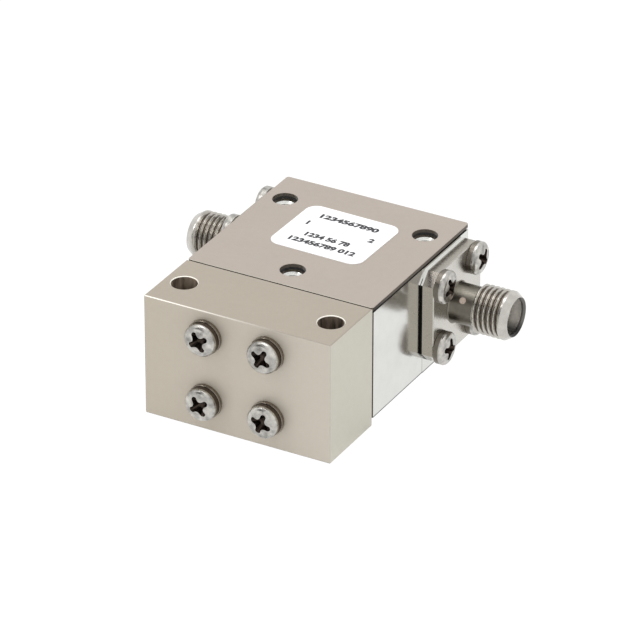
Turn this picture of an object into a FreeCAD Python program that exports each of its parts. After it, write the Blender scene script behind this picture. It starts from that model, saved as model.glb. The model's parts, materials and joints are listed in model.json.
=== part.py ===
import FreeCAD
import Part
import math
import os

from FreeCAD import Vector

# Coaxial isolator: a three-port ferrite junction whose third port ends in a screwed-on load block.
# Millimetres. The origin is the junction axis on the underside, +Z up, +Y away from the load block,
# port 1 points to -X and port 2 to +X.

# Housing, load block and plates
body_width = 26.0
housing_depth = 25.25
load_block_depth = 10.65
base_plate_thickness = 1.0
base_plate_inset = 1.5
film_thickness = 0.25
film_inset = 0.3
cover_thickness = 0.5
cover_corner_radius = 0.4
cover_edge_break = 0.05
seam_bevel = 0.3
edge_break = 0.1
corner_break = 0.25

# Mounting holes
block_hole_diameter = 3.35
block_hole_inset = 2.75
block_hole_setback = 5.1
block_hole_chamfer = 0.1
cover_hole_diameter = 3.25
tapped_hole_diameter = 2.26
tapped_hole_depth = 3.8
tapped_hole_chamfer = 0.3
spot_face_diameter = 3.0
spot_face_depth = 0.3
cover_hole_shift = -0.275
rear_hole_inset = 3.025
rear_hole_offset = 7.1
front_hole_wall = 0.2

# Stripline junction, listed outwards from the conductor's middle plane
conductor_thickness = 0.2
ferrite_thickness = 1.27
ferrite_diameter = 9.0
ground_disc_thickness = 0.3
pole_piece_thickness = 1.0
magnet_thickness = 2.2
magnet_gap = 0.3
shim_thickness = 0.4
cavity_diameter = 13.2
cavity_floor_wall = 3.03
lid_thickness = 1.2
lid_shoulder = 0.5
lid_recess = 0.38
lid_thread_runout = 0.67
spanner_hole_diameter = 1.3
spanner_hole_spacing = 9.0
spanner_hole_depth = 0.8
junction_disc_diameter = 7.4
transformer_width = 3.0
transformer_reach = 6.2
arm_width = 1.9
arm_angle = 30.0
channel_width = 3.4
stack_gap = 0.1

# Coaxial jacks
port_offset = 6.1
port_bore_overrun = 1.55
seat_rise = 0.05
seat_reach = 5.7
port_1_inset = 0.55
port_1_step_gap = 0.1
gasket_thickness = 0.25
flange_size = 12.7
flange_thickness = 1.57
flange_corner = 1.5
flange_edge_break = 0.12
flange_screw_inset = 2.03
neck_diameter = 5.2
neck_fillet = 0.2
neck_length = 3.2
thread_diameter = 6.35
thread_length = 5.1
thread_lead_in = 0.35
nose_chamfer_length = 0.9
nose_rim = 0.25
socket_bore_step = 0.23
socket_bore_depth = 1.9
socket_bore_chamfer = 0.15
dielectric_diameter = 4.1
dielectric_clearance = 0.15
contact_diameter = 1.27
contact_recess = 0.1
contact_wall = 0.165
contact_bore_depth = 2.6
contact_chamfer = 0.12
contact_slot_width = 0.18
contact_slot_length = 2.2
contact_tail_reach = 1.6
captivation_diameter = 0.85
captivation_position = 1.8
captivation_groove_depth = 0.185
captivation_angle = 142.0

# Termination inside the load block
load_pin_diameter = 1.27
load_tail_reach = 2.8
load_tail_overlap = 1.4
bead_length = 1.6
resistor_diameter = 1.6
resistor_taper_length = 4.6
resistor_seat_length = 1.2
sleeve_diameter = 6.4
sleeve_end_wall = 0.58

# Screws and lock washers
screw_diameter = 2.18
screw_clearance = 0.16
screw_head_diameter = 4.3
screw_head_height = 1.5
screw_head_side = 0.85
screw_head_shoulder = 1.24
screw_head_shoulder_ratio = 0.72
recess_width = 0.5
recess_length = 2.6
recess_root_length = 0.9
recess_depth = 0.85
screw_point_chamfer = 0.3
flange_screw_length = 4.8
block_screw_length = 14.8
block_screw_spacing = 8.7
block_screw_rise = 9.0
block_screw_drop = 0.28
tapped_allowance = 0.6
washer_diameter = 4.55
washer_clearance = 0.11
washer_thickness = 0.55
washer_split_width = 0.3
base_screw_diameter = 1.6
base_screw_head_diameter = 3.0
base_screw_length = 3.2
base_screw_side_inset = 5.4
base_screw_end_inset = 2.625
base_screw_slot_width = 0.45
base_screw_slot_depth = 0.35
thread_gap = 0.02
fit_gap = 0.02

# Label
label_length = 13.1
label_width = 11.4
label_thickness = 0.08
label_corner_radius = 1.6
label_x = -0.1
label_y = 1.6
label_turn = -1.2

# Turn of each cross recess and washer split, in degrees
block_screw_turns = [30.0, 60.0, 34.0, 70.0]
flange_screw_turns = [20.0, 48.0, 75.0, 10.0]
washer_split_turns = [205.0, 150.0, 235.0, 190.0]

# Worked-out places
half_width = body_width / 2
housing_back = housing_depth / 2
housing_front = -housing_depth / 2
block_front = housing_front - load_block_depth
housing_bottom = base_plate_thickness
half_gap = conductor_thickness / 2 + ferrite_thickness
half_stack = half_gap + ground_disc_thickness + pole_piece_thickness + magnet_thickness
cavity_floor = housing_bottom + cavity_floor_wall
axis_height = cavity_floor + half_stack
stack_top = axis_height + half_stack + shim_thickness
housing_top = stack_top + lid_thickness + lid_recess
cover_bottom = housing_top + film_thickness
body_top = cover_bottom + cover_thickness
disc_diameter = cavity_diameter - 2 * stack_gap
magnet_diameter = cavity_diameter - 2 * magnet_gap
lid_thread_diameter = cavity_diameter + 2 * lid_shoulder
lid_thread_depth = lid_thickness + lid_recess + lid_thread_runout
port_bore_diameter = dielectric_diameter + 2 * fit_gap
socket_bore_diameter = port_bore_diameter + 2 * socket_bore_step
nose_diameter = socket_bore_diameter + 2 * (socket_bore_chamfer + nose_rim)
seat_face = half_width + seat_rise
port_1_seat_face = seat_face - port_1_inset
flange_back = seat_face + gasket_thickness
flange_front = flange_back + flange_thickness
flange_screw_spacing = flange_size - 2 * flange_screw_inset
neck_end = flange_front + neck_length
nose_face = neck_end + thread_length
reference_plane = nose_face - socket_bore_depth
arm_reach = port_offset / math.sin(math.radians(arm_angle))
arm_end_x = arm_reach * math.cos(math.radians(arm_angle))
port_bore_end = arm_end_x - port_bore_overrun
dielectric_back = arm_end_x + arm_width / 2 + dielectric_clearance
strip_face = axis_height - conductor_thickness / 2
load_tail_end = housing_front + load_tail_reach
load_pin_end = housing_front - bead_length
resistor_length = resistor_taper_length + resistor_seat_length
sleeve_length = bead_length + resistor_length + fit_gap + sleeve_end_wall
screw_tapped_diameter = screw_diameter + 2 * thread_gap
screw_hole_diameter = screw_diameter + 2 * screw_clearance
washer_bore_diameter = screw_diameter + 2 * washer_clearance
block_hole_x = half_width - block_hole_inset
block_hole_y = block_front + block_hole_setback
rear_hole_x = half_width - rear_hole_inset
front_hole_offset = lid_thread_diameter / 2 + front_hole_wall + spot_face_diameter / 2
base_screw_x = half_width - base_screw_side_inset
base_screw_y = housing_back - base_screw_end_inset

X = Vector(1, 0, 0)
Y = Vector(0, 1, 0)
Z = Vector(0, 0, 1)
O = Vector(0, 0, 0)


def box(low, high):
    """A box between two corners."""
    size = [b - a for a, b in zip(low, high)]
    return Part.makeBox(size[0], size[1], size[2], Vector(*low))


def rod(diameter, start, end):
    """A round bar between two points."""
    return Part.makeCylinder(diameter / 2, (end - start).Length, start, end - start)


def cone(first, second, start, end):
    """A cone between two points, with the diameter at each."""
    return Part.makeCone(first / 2, second / 2, (end - start).Length, start, end - start)


def ring(outer, inner, low, high):
    """A flat ring about the vertical axis."""
    return rod(outer, Z * low, Z * high).cut(rod(inner, Z * low, Z * high))


def turned(points):
    """A profile of (along, radius) points spun about X, with arcs given as a middle point."""
    edges = []
    place = Vector(points[0][0], points[0][1], 0)
    for step in points[1:]:
        target = Vector(step[0], step[1], 0)
        if len(step) == 4:
            edges.append(Part.Arc(place, Vector(step[2], step[3], 0), target).toShape())
        else:
            edges.append(Part.LineSegment(place, target).toShape())
        place = target
    edges.append(Part.LineSegment(place, Vector(points[0][0], points[0][1], 0)).toShape())
    return Part.Face(Part.Wire(edges)).revolve(O, X, 360)


def chamfer_upright(solid, size):
    """Chamfer the edges that run along Z."""
    return solid.makeChamfer(size, [edge for edge in solid.Edges if is_along(edge, Z)])


def is_along(edge, direction):
    """True for a straight edge parallel to a direction."""
    if not isinstance(edge.Curve, Part.Line):
        return False
    return abs(edge.Curve.Direction.dot(direction)) > 0.999


def edges_at(solid, direction, level):
    """The edges that lie in a plane square to a direction, at a distance along it."""
    return [edge for edge in solid.Edges
            if all(abs(point.dot(direction) - level) < 1e-6 for point in edge.discretize(3))]


def pattern(centre, across, up):
    """The four corners of a hole pattern, from its full width and height."""
    signs = [(-1, 1), (1, 1), (-1, -1), (1, -1)]
    return [centre + across * (a / 2) + up * (b / 2) for a, b in signs]


def arm_angles():
    """The junction's three arms, 120 degrees apart: port 2, port 1 and the load."""
    return [arm_angle, 180 - arm_angle, 270]


def arm_strip(width, reach, low, height):
    """A straight strip from the junction axis along +X, for turning to an arm."""
    return box((0, -width / 2, low), (reach, width / 2, low + height))


def at_arm(solid, angle):
    """Turn a solid about the junction axis."""
    copy = solid.copy()
    copy.rotate(O, Z, angle)
    return copy


def on_face(solid, place, outward, turn=0.0):
    """Put a solid made along +X so that +X points outward from a place."""
    copy = solid.copy()
    copy.rotate(O, X, turn)
    copy.Placement = FreeCAD.Placement(place, FreeCAD.Rotation(X, outward)).multiply(copy.Placement)
    return copy


def other_side(solid):
    """The same piece on the port 1 side."""
    return solid.mirror(O, X)


def both_sides(solid, inset=0.0):
    """A solid made at port 2 and its match at port 1, which sits nearer the junction by an inset."""
    match = solid.copy()
    match.translate(X * -inset)
    return [solid, other_side(match)]


# Fasteners, made with the seat of the head at the origin and the head on the +X side

def recess(depth_from):
    """The cross recess of a pan head, cut from its top."""
    root = depth_from - recess_depth
    wing = [(depth_from, recess_length / 2), (depth_from, -recess_length / 2),
            (root, -recess_root_length / 2), (root, recess_root_length / 2)]
    corners = [Vector(x, y, -recess_width / 2) for x, y in wing]
    one = Part.Face(Part.makePolygon(corners + corners[:1])).extrude(Z * recess_width)
    other = one.copy()
    other.rotate(O, X, 90)
    middle = cone(recess_root_length, recess_width, X * root, X * (root - recess_width / 2))
    return one.fuse([other, middle])


def pan_screw(length):
    """A pan-head screw with a cross recess."""
    radius = screw_head_diameter / 2
    shoulder = radius * screw_head_shoulder_ratio
    bend = (screw_head_side + screw_head_shoulder) / 2
    shank = screw_diameter / 2
    rise = screw_head_height - screw_head_shoulder
    profile = [(-length, 0), (-length, shank - screw_point_chamfer),
               (screw_point_chamfer - length, shank), (0, shank), (0, radius),
               (screw_head_side, radius),
               (screw_head_shoulder, shoulder, bend + rise / 3, (radius * 2 + shoulder) / 3),
               (screw_head_height, 0, screw_head_height - rise / 4, shoulder / 2)]
    return turned(profile).cut(recess(screw_head_height + fit_gap))


def lock_washer():
    """A split lock washer lying on its seat."""
    outer = rod(washer_diameter, O, X * washer_thickness)
    washer = outer.cut(rod(washer_bore_diameter, O, X * washer_thickness))
    half = washer_split_width / 2
    return washer.cut(box((0, 0, -half), (washer_thickness, washer_diameter, half)))


def flat_screw():
    """A slotted flat-head screw whose head is flush with its seat."""
    head = base_screw_head_diameter / 2
    shank = base_screw_diameter / 2
    sink = head - shank
    profile = [(-base_screw_length, 0), (-base_screw_length, shank), (-sink, shank), (0, head), (0, 0)]
    half = base_screw_slot_width / 2
    slot = box((-base_screw_slot_depth, -head, -half), (0, head, half))
    return turned(profile).cut(slot)


# Places of the holes and fasteners

def mounting_hole_places():
    """The three tapped holes that face up through the cover."""
    places = [Vector(-rear_hole_x, rear_hole_offset, 0), Vector(rear_hole_x, rear_hole_offset, 0),
              Vector(0, -front_hole_offset, 0)]
    return [place + X * cover_hole_shift for place in places]


def block_screw_places():
    """The four load-block screws, on the block's front face."""
    centre = Vector(0, block_front, axis_height - block_screw_drop)
    return pattern(centre, X * block_screw_spacing, Z * block_screw_rise)


def flange_screw_places():
    """The four screws of port 2, on the flange's front face."""
    return pattern(port_axis(flange_front), Y * flange_screw_spacing, Z * flange_screw_spacing)


def base_screw_places():
    """The four screws of the base plate, on its underside."""
    places = []
    for x in (-base_screw_x, base_screw_x):
        places += [Vector(x, -base_screw_y, 0), Vector(x, base_screw_y, 0)]
    return places


def block_hole_places():
    """The two upright holes of the load block."""
    return [Vector(-block_hole_x, block_hole_y, 0), Vector(block_hole_x, block_hole_y, 0)]


# Housing and plates

def channel(angle):
    """The strip channel of one arm, open to the cavity."""
    reach = arm_reach if angle != 270 else -housing_front
    low = axis_height - half_gap
    return at_arm(arm_strip(channel_width, reach, low, 2 * half_gap), angle)


def port_axis(x):
    """The point of port 2's axis at a distance from the junction."""
    return Vector(x, port_offset, axis_height)


def housing():
    """The machined housing with its cavity, strip channels, port bores and tapped holes."""
    body = box((-half_width, housing_front, housing_bottom), (half_width, housing_back, housing_top))
    body = chamfer_upright(body, corner_break)
    seat = box((half_width - corner_break * 2, port_offset - seat_reach, housing_bottom),
               (seat_face, housing_back - corner_break, housing_top))
    body = body.fuse(seat).removeSplitter()
    step_front = port_offset - flange_size / 2 - port_1_step_gap
    cuts = [box((-half_width, step_front, housing_bottom), (-port_1_seat_face, housing_back, housing_top)),
            rod(cavity_diameter, Z * cavity_floor, Z * housing_top),
            rod(lid_thread_diameter, Z * (housing_top - lid_thread_depth), Z * housing_top)]
    cuts += [channel(angle) for angle in arm_angles()]
    cuts += both_sides(rod(port_bore_diameter, port_axis(port_bore_end), port_axis(seat_face)))
    for place in mounting_hole_places():
        spot = place + Z * (housing_top - spot_face_depth)
        wide = tapped_hole_diameter + 2 * tapped_hole_chamfer
        cuts += [rod(spot_face_diameter, spot, place + Z * housing_top),
                 rod(tapped_hole_diameter, spot - Z * tapped_hole_depth, spot),
                 cone(tapped_hole_diameter, wide, spot - Z * tapped_hole_chamfer, spot)]
    grip = flange_screw_length - flange_thickness - gasket_thickness + tapped_allowance
    for place in flange_screw_places():
        mouth = Vector(seat_face, place.y, place.z)
        cuts += both_sides(rod(screw_tapped_diameter, mouth - X * grip, mouth), port_1_inset)
    grip = block_screw_length - load_block_depth - washer_thickness + tapped_allowance
    for place in block_screw_places():
        mouth = Vector(place.x, housing_front, place.z)
        cuts.append(rod(screw_tapped_diameter, mouth, mouth + Y * grip))
    grip = base_screw_length - base_plate_thickness + tapped_allowance
    for place in base_screw_places():
        mouth = place + Z * housing_bottom
        cuts.append(rod(base_screw_diameter + 2 * thread_gap, mouth, mouth + Z * grip))
    return body.cut(cuts)


def base_plate():
    """The plate under the housing, level with the load block's underside."""
    side = half_width - base_plate_inset
    low = (-side, housing_front + fit_gap, 0)
    body = box(low, (side, housing_back - base_plate_inset, base_plate_thickness))
    cuts = []
    wide = base_screw_head_diameter + 2 * fit_gap
    narrow = base_screw_diameter + 2 * fit_gap
    sink = (wide - narrow) / 2
    for place in base_screw_places():
        cuts += [rod(narrow, place, place + Z * base_plate_thickness),
                 cone(wide, narrow, place, place + Z * sink)]
    return chamfer_upright(body, corner_break).cut(cuts)


def cover_plate():
    """The cover over the whole housing, with its three holes."""
    body = box((-half_width, housing_front, cover_bottom), (half_width, housing_back, body_top))
    upright = [edge for edge in body.Edges if is_along(edge, Z)]
    body = body.makeFillet(cover_corner_radius, upright)
    body = body.cut([rod(cover_hole_diameter, place + Z * cover_bottom, place + Z * body_top)
                     for place in mounting_hole_places()])
    return body.makeChamfer(cover_edge_break, edges_at(body, Z, body_top))


def cover_film():
    """The bonding film between the housing and the cover."""
    side = half_width - film_inset
    body = box((-side, housing_front + film_inset, housing_top),
               (side, housing_back - film_inset, cover_bottom))
    return body.cut([rod(cover_hole_diameter, place + Z * housing_top, place + Z * cover_bottom)
                     for place in mounting_hole_places()])


def cavity_lid():
    """The threaded lid that clamps the junction stack."""
    low = Z * stack_top
    high = Z * (stack_top + lid_thickness)
    body = rod(lid_thread_diameter - 2 * thread_gap, low, high)
    cuts = []
    for side in (-1, 1):
        top = high + X * (side * spanner_hole_spacing / 2)
        cuts.append(rod(spanner_hole_diameter, top - Z * spanner_hole_depth, top))
    return body.cut(cuts)


def label():
    """The label, stuck a little askew on the cover."""
    body = box((-label_length / 2, -label_width / 2, 0),
               (label_length / 2, label_width / 2, label_thickness))
    body = body.makeFillet(label_corner_radius, [edge for edge in body.Edges if is_along(edge, Z)])
    body.rotate(O, Z, label_turn)
    body.translate(Vector(label_x, label_y, body_top))
    return body


# Junction stack

def centre_conductor():
    """The Y-shaped strip: a disc, three wide transformer steps and three arms."""
    strip = rod(junction_disc_diameter, Z * strip_face, Z * (strip_face + conductor_thickness))
    arms = []
    for angle in arm_angles():
        reach = arm_reach if angle != 270 else load_tail_overlap - load_tail_end
        wide = arm_strip(transformer_width, transformer_reach, strip_face, conductor_thickness)
        narrow = arm_strip(arm_width, reach, strip_face, conductor_thickness)
        arms += [at_arm(wide, angle), at_arm(narrow, angle)]
    corner = rod(arm_width, Vector(arm_end_x, port_offset, strip_face),
                 Vector(arm_end_x, port_offset, strip_face + conductor_thickness))
    return strip.fuse(arms + both_sides(corner)).removeSplitter()


def stack_layers():
    """Each round layer of the stack, from the conductor outwards, above and below it."""
    layers = [("ferrite", ferrite_diameter, ferrite_thickness),
              ("ground_disc", disc_diameter, ground_disc_thickness),
              ("pole_piece", disc_diameter, pole_piece_thickness),
              ("magnet", magnet_diameter, magnet_thickness)]
    parts = {}
    start = conductor_thickness / 2
    for name, diameter, thickness in layers:
        above = axis_height + start
        below = axis_height - start
        parts["upper_" + name] = rod(diameter, Z * above, Z * (above + thickness))
        parts["lower_" + name] = rod(diameter, Z * (below - thickness), Z * below)
        start += thickness
    return parts


def dielectric_rings():
    """The ceramic rings round the two ferrites."""
    inner = ferrite_diameter + 2 * fit_gap
    above = axis_height + conductor_thickness / 2
    below = axis_height - conductor_thickness / 2
    return {"upper_dielectric_ring": ring(disc_diameter, inner, above, above + ferrite_thickness),
            "lower_dielectric_ring": ring(disc_diameter, inner, below - ferrite_thickness, below)}


def compensation_shim():
    """The nickel-iron shim that keeps the magnets' pull steady with temperature."""
    return rod(disc_diameter, Z * (stack_top - shim_thickness), Z * stack_top)


# Coaxial jacks, made for port 2

def flange_outline(start, thickness):
    """The square flange plate with its cut corners."""
    half = flange_size / 2
    near = half - flange_corner
    points = [(half, near), (near, half), (-near, half), (-half, near),
              (-half, -near), (-near, -half), (near, -half), (half, -near)]
    corners = [Vector(start, port_offset + y, axis_height + z) for y, z in points]
    return Part.Face(Part.makePolygon(corners + corners[:1])).extrude(X * thickness)


def flange_holes(start, thickness):
    """The four clearance holes through the flange or its gasket."""
    holes = []
    for place in flange_screw_places():
        mouth = Vector(start, place.y, place.z)
        holes.append(rod(screw_hole_diameter, mouth, mouth + X * thickness))
    return holes


def jack_turning(profile):
    """A profile spun about port 2's axis."""
    body = turned(profile)
    body.translate(Vector(0, port_offset, axis_height))
    return body


def captivation_cut(diameter, inset=0.0):
    """The radial hole of the captivation plug, from the contact out through the neck."""
    angle = math.radians(captivation_angle)
    outward = Vector(0, math.cos(angle), math.sin(angle))
    start = port_axis(flange_front + captivation_position - inset)
    return rod(diameter, start, start + outward * neck_diameter)


def jack_shell():
    """The one-piece jack: flange, neck, threaded barrel and socket bore."""
    neck = neck_diameter / 2
    thread = thread_diameter / 2
    socket = socket_bore_diameter / 2
    inner = port_bore_diameter / 2
    bend = neck_fillet * (1 - math.sqrt(0.5))
    profile = [(flange_back, inner), (flange_back, thread), (flange_front, thread),
               (flange_front, neck + neck_fillet),
               (flange_front + neck_fillet, neck, flange_front + bend, neck + bend),
               (neck_end, neck), (neck_end + thread_lead_in, thread),
               (nose_face - nose_chamfer_length, thread), (nose_face, nose_diameter / 2),
               (nose_face, socket + socket_bore_chamfer), (nose_face - socket_bore_chamfer, socket),
               (reference_plane, socket), (reference_plane, inner)]
    flange = flange_outline(flange_back, flange_thickness)
    flange = flange.makeChamfer(flange_edge_break, edges_at(flange, X, flange_front))
    cuts = flange_holes(flange_back, flange_thickness)
    cuts.append(rod(port_bore_diameter, port_axis(flange_back), port_axis(flange_front)))
    return flange.cut(cuts).fuse(jack_turning(profile)).cut(captivation_cut(captivation_diameter))


def jack_gasket():
    """The thin gasket between the flange and its seat."""
    bore = rod(port_bore_diameter, port_axis(seat_face), port_axis(flange_back))
    holes = flange_holes(seat_face, gasket_thickness)
    return flange_outline(seat_face, gasket_thickness).cut(holes + [bore])


def jack_dielectric(inset):
    """The insulator round the contact, level with the reference plane."""
    back = port_axis(dielectric_back)
    front = port_axis(reference_plane - inset)
    outer = rod(dielectric_diameter, back, front)
    bore = rod(contact_diameter + 2 * fit_gap, back, front)
    return outer.cut([bore, captivation_cut(captivation_diameter, inset)])


def jack_contact(inset):
    """The centre contact: slotted socket, captivation groove and a flat tail under the strip."""
    radius = contact_diameter / 2
    bore = radius - contact_wall
    tip = reference_plane - inset - contact_recess
    middle = flange_front + captivation_position - inset
    half = captivation_diameter / 2
    groove = radius - captivation_groove_depth
    tail_end = arm_end_x - contact_tail_reach
    profile = [(tail_end, 0), (tail_end, radius), (middle - half, radius), (middle - half, groove),
               (middle + half, groove), (middle + half, radius), (tip - contact_chamfer, radius),
               (tip, radius - contact_chamfer), (tip, bore), (tip - contact_bore_depth, bore),
               (tip - contact_bore_depth, 0)]
    body = jack_turning(profile)
    slot = contact_slot_width / 2
    start = tip - contact_slot_length
    flat = box((tail_end, port_offset - contact_diameter, strip_face),
               (arm_end_x + arm_width / 2 + fit_gap, port_offset + contact_diameter,
                axis_height + contact_diameter))
    upright = box((start, port_offset - slot, axis_height - radius),
                  (tip, port_offset + slot, axis_height + radius))
    across = box((start, port_offset - radius, axis_height - slot),
                 (tip, port_offset + radius, axis_height + slot))
    return body.cut([flat, upright, across])


def jack_captivation(inset):
    """The epoxy that fills the contact's groove and the radial hole."""
    middle = flange_front + captivation_position - inset
    half = captivation_diameter / 2
    plug = captivation_cut(captivation_diameter, inset)
    reach = jack_turning([(middle - half, 0), (middle - half, neck_diameter / 2),
                          (middle + half, neck_diameter / 2), (middle + half, 0)])
    collar = rod(contact_diameter, port_axis(middle - half), port_axis(middle + half))
    groove = contact_diameter - 2 * captivation_groove_depth
    core = rod(groove, port_axis(middle - half), port_axis(middle + half))
    return plug.common(reach).fuse(collar).cut(core)


def flange_screws():
    """The four screws of port 2."""
    screw = pan_screw(flange_screw_length)
    places = flange_screw_places()
    return [on_face(screw, place, X, turn) for place, turn in zip(places, flange_screw_turns)]


# Load block and termination

def load_block():
    """The block that carries the load, with mounting, screw and sleeve holes."""
    body = box((-half_width, block_front, 0), (half_width, housing_front, body_top))
    body = body.makeChamfer(edge_break, body.Edges)
    corner = Vector(-half_width, housing_front, body_top)
    seam = [corner, corner - Y * seam_bevel, corner - Z * seam_bevel, corner]
    cuts = [Part.Face(Part.makePolygon(seam)).extrude(X * body_width)]
    wide = block_hole_diameter + 2 * block_hole_chamfer
    for place in block_hole_places():
        top = place + Z * body_top
        cuts += [rod(block_hole_diameter, place, top),
                 cone(block_hole_diameter, wide, top - Z * block_hole_chamfer, top),
                 cone(wide, block_hole_diameter, place, place + Z * block_hole_chamfer)]
    for place in block_screw_places():
        cuts.append(rod(screw_hole_diameter, place, place + Y * load_block_depth))
    mouth = Vector(0, housing_front, axis_height)
    cuts.append(rod(sleeve_diameter + 2 * fit_gap, mouth - Y * (sleeve_length + fit_gap), mouth))
    return body.cut(cuts)


def load_turning(profile):
    """A profile of (distance into the block, radius) points spun about the load's axis."""
    return on_face(turned(profile), Vector(0, housing_front, axis_height), Y * -1)


def load_sleeve():
    """The outer conductor of the load, tapering down to the resistor's far end."""
    outer = sleeve_diameter / 2
    mouth = dielectric_diameter / 2 + fit_gap
    seat = resistor_diameter / 2 + fit_gap
    taper_end = bead_length + resistor_taper_length
    seat_end = taper_end + resistor_seat_length + fit_gap
    return load_turning([(0, outer), (0, mouth), (bead_length, mouth), (taper_end, seat), (seat_end, seat),
                         (seat_end, 0), (sleeve_length, 0), (sleeve_length, outer)])


def load_bead():
    """The insulating bead that centres the load pin."""
    outer = dielectric_diameter / 2
    inner = load_pin_diameter / 2 + fit_gap
    return load_turning([(0, inner), (0, outer), (bead_length, outer), (bead_length, inner)])


def load_pin():
    """The pin from the strip to the resistor, flat where it lies under the strip."""
    start = Vector(0, load_tail_end, axis_height)
    body = rod(load_pin_diameter, start, Vector(0, load_pin_end, axis_height))
    flat = box((-load_pin_diameter, load_tail_end - load_tail_overlap - fit_gap, strip_face),
               (load_pin_diameter, load_tail_end, axis_height + load_pin_diameter))
    return body.cut(flat)


def load_resistor():
    """The resistor rod."""
    start = Vector(0, load_pin_end, axis_height)
    return rod(resistor_diameter, start, start - Y * resistor_length)


def block_screws():
    """The four screws that hold the load block."""
    screw = pan_screw(block_screw_length)
    seats = [place - Y * washer_thickness for place in block_screw_places()]
    return [on_face(screw, seat, Y * -1, turn) for seat, turn in zip(seats, block_screw_turns)]


def block_washers():
    """The split washers under those screws."""
    washer = lock_washer()
    places = block_screw_places()
    return [on_face(washer, place, Y * -1, turn) for place, turn in zip(places, washer_split_turns)]


def base_screws():
    """The flat-head screws of the base plate."""
    screw = flat_screw()
    return [on_face(screw, place, Z * -1) for place in base_screw_places()]


def all_parts():
    """Every node by name."""
    parts = {"housing": housing(), "base_plate": base_plate(), "cover_plate": cover_plate(),
             "cover_film": cover_film(), "cavity_lid": cavity_lid(), "label": label(),
             "centre_conductor": centre_conductor(), "compensation_shim": compensation_shim(),
             "load_block": load_block(), "load_sleeve": load_sleeve(), "load_bead": load_bead(),
             "load_pin": load_pin(), "load_resistor": load_resistor()}
    parts.update(stack_layers())
    parts.update(dielectric_rings())
    outside = {"shell": jack_shell(), "gasket": jack_gasket(),
               "screws": Part.makeCompound(flange_screws())}
    for name, solid in outside.items():
        parts["port_2_" + name], parts["port_1_" + name] = both_sides(solid, port_1_inset)
    inside = {"dielectric": jack_dielectric, "contact": jack_contact, "captivation": jack_captivation}
    for name, make in inside.items():
        parts["port_2_" + name] = make(0)
        parts["port_1_" + name] = other_side(make(port_1_inset))
    parts["block_screws"] = Part.makeCompound(block_screws())
    parts["block_washers"] = Part.makeCompound(block_washers())
    parts["base_screws"] = Part.makeCompound(base_screws())
    return parts


os.makedirs("parts", exist_ok=True)
for name, shape in all_parts().items():
    shape.exportStep(os.path.join("parts", name + ".step"))
    state = "valid" if shape.isValid() else "INVALID"
    print(name, len(shape.Solids), "solids", round(shape.Volume, 3), "mm3", state)
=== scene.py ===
"""Looks of a coaxial isolator: its finishes, threads, cross recesses and label print, in a plain studio."""

import json
import math

import bmesh
import bpy
from bpy.props import FloatProperty, FloatVectorProperty, IntProperty, PointerProperty
from mathutils import Matrix, Vector


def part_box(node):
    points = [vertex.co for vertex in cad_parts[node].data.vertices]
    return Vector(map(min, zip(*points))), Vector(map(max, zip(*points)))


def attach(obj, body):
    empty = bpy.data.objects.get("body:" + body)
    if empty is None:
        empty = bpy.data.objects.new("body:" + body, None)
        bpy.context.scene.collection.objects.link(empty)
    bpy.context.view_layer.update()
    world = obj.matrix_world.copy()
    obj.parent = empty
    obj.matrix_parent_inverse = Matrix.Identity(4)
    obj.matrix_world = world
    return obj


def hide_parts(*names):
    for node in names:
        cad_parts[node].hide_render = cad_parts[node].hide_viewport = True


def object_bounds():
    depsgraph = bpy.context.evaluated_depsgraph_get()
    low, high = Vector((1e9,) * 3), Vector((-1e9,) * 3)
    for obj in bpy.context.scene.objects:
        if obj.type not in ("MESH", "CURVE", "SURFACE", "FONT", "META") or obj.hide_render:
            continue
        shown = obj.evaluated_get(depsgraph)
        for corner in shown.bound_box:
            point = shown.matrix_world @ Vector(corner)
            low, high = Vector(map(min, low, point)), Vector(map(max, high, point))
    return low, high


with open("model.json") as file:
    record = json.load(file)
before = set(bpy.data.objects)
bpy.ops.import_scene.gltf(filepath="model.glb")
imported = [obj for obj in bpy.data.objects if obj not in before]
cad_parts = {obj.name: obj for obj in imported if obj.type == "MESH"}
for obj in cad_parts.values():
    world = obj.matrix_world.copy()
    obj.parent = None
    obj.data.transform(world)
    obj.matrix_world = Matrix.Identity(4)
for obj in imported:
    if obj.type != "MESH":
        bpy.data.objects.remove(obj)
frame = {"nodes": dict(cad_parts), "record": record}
cad_low, cad_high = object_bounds()

bl_info = {
    "name": "Coaxial isolator looks",
    "version": (1, 0, 0),
    "blender": (4, 5, 0),
    "location": "3D View > Sidebar > Isolator",
    "description": "Finishes, threads, screws and label print of a coaxial isolator, with its studio",
    "category": "Object",
}

# The unit of length, the body that every piece rides on, and the axes
MM = 0.001
BODY = "root"
X_AXIS, Y_AXIS, Z_AXIS = Vector((1, 0, 0)), Vector((0, 1, 0)), Vector((0, 0, 1))

# Meshes: where shading breaks, how near points are one, and steps round and along the pieces
SHARP_ANGLE = math.radians(32)
WELD = 0.0001 * MM
FILLET_STEPS = 4
PLUG_SEGMENTS = 32
JACK_STEPS_PER_PITCH = 20
SCREW_STEPS_PER_PITCH = 8
SCREW_SEGMENTS = 28
HEAD_SEGMENTS = 72
WASHER_SEGMENTS = 64

# Share of a screw head's straight side, from its seat, that is painted dark as shade, and of its radius from
# which it is
FLANK_SHARE, RIM_SHARE = 0.75, 0.97

# Where a jack's finishes end: shares of the neck's radius, the thread's depth and the socket's chamfer,
# and a slack that takes in the faces on a limit
NECK_SHARE, ROOT_SHARE, MOUTH_SHARE, SLACK = 0.9, 0.55, 0.9, 1.01

# Height of the font's figures, as a share of its size
FIGURE_SHARE = 0.7

# Ways that faces turn
UP, FRONT, LEFT, RIGHT = (0, 0, 1), (0, -1, 0), (-1, 0, 0), (1, 0, 0)
TOP_CORNER, SIDE_CORNER = (0, -1, 1), (1, -1, 0)

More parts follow.
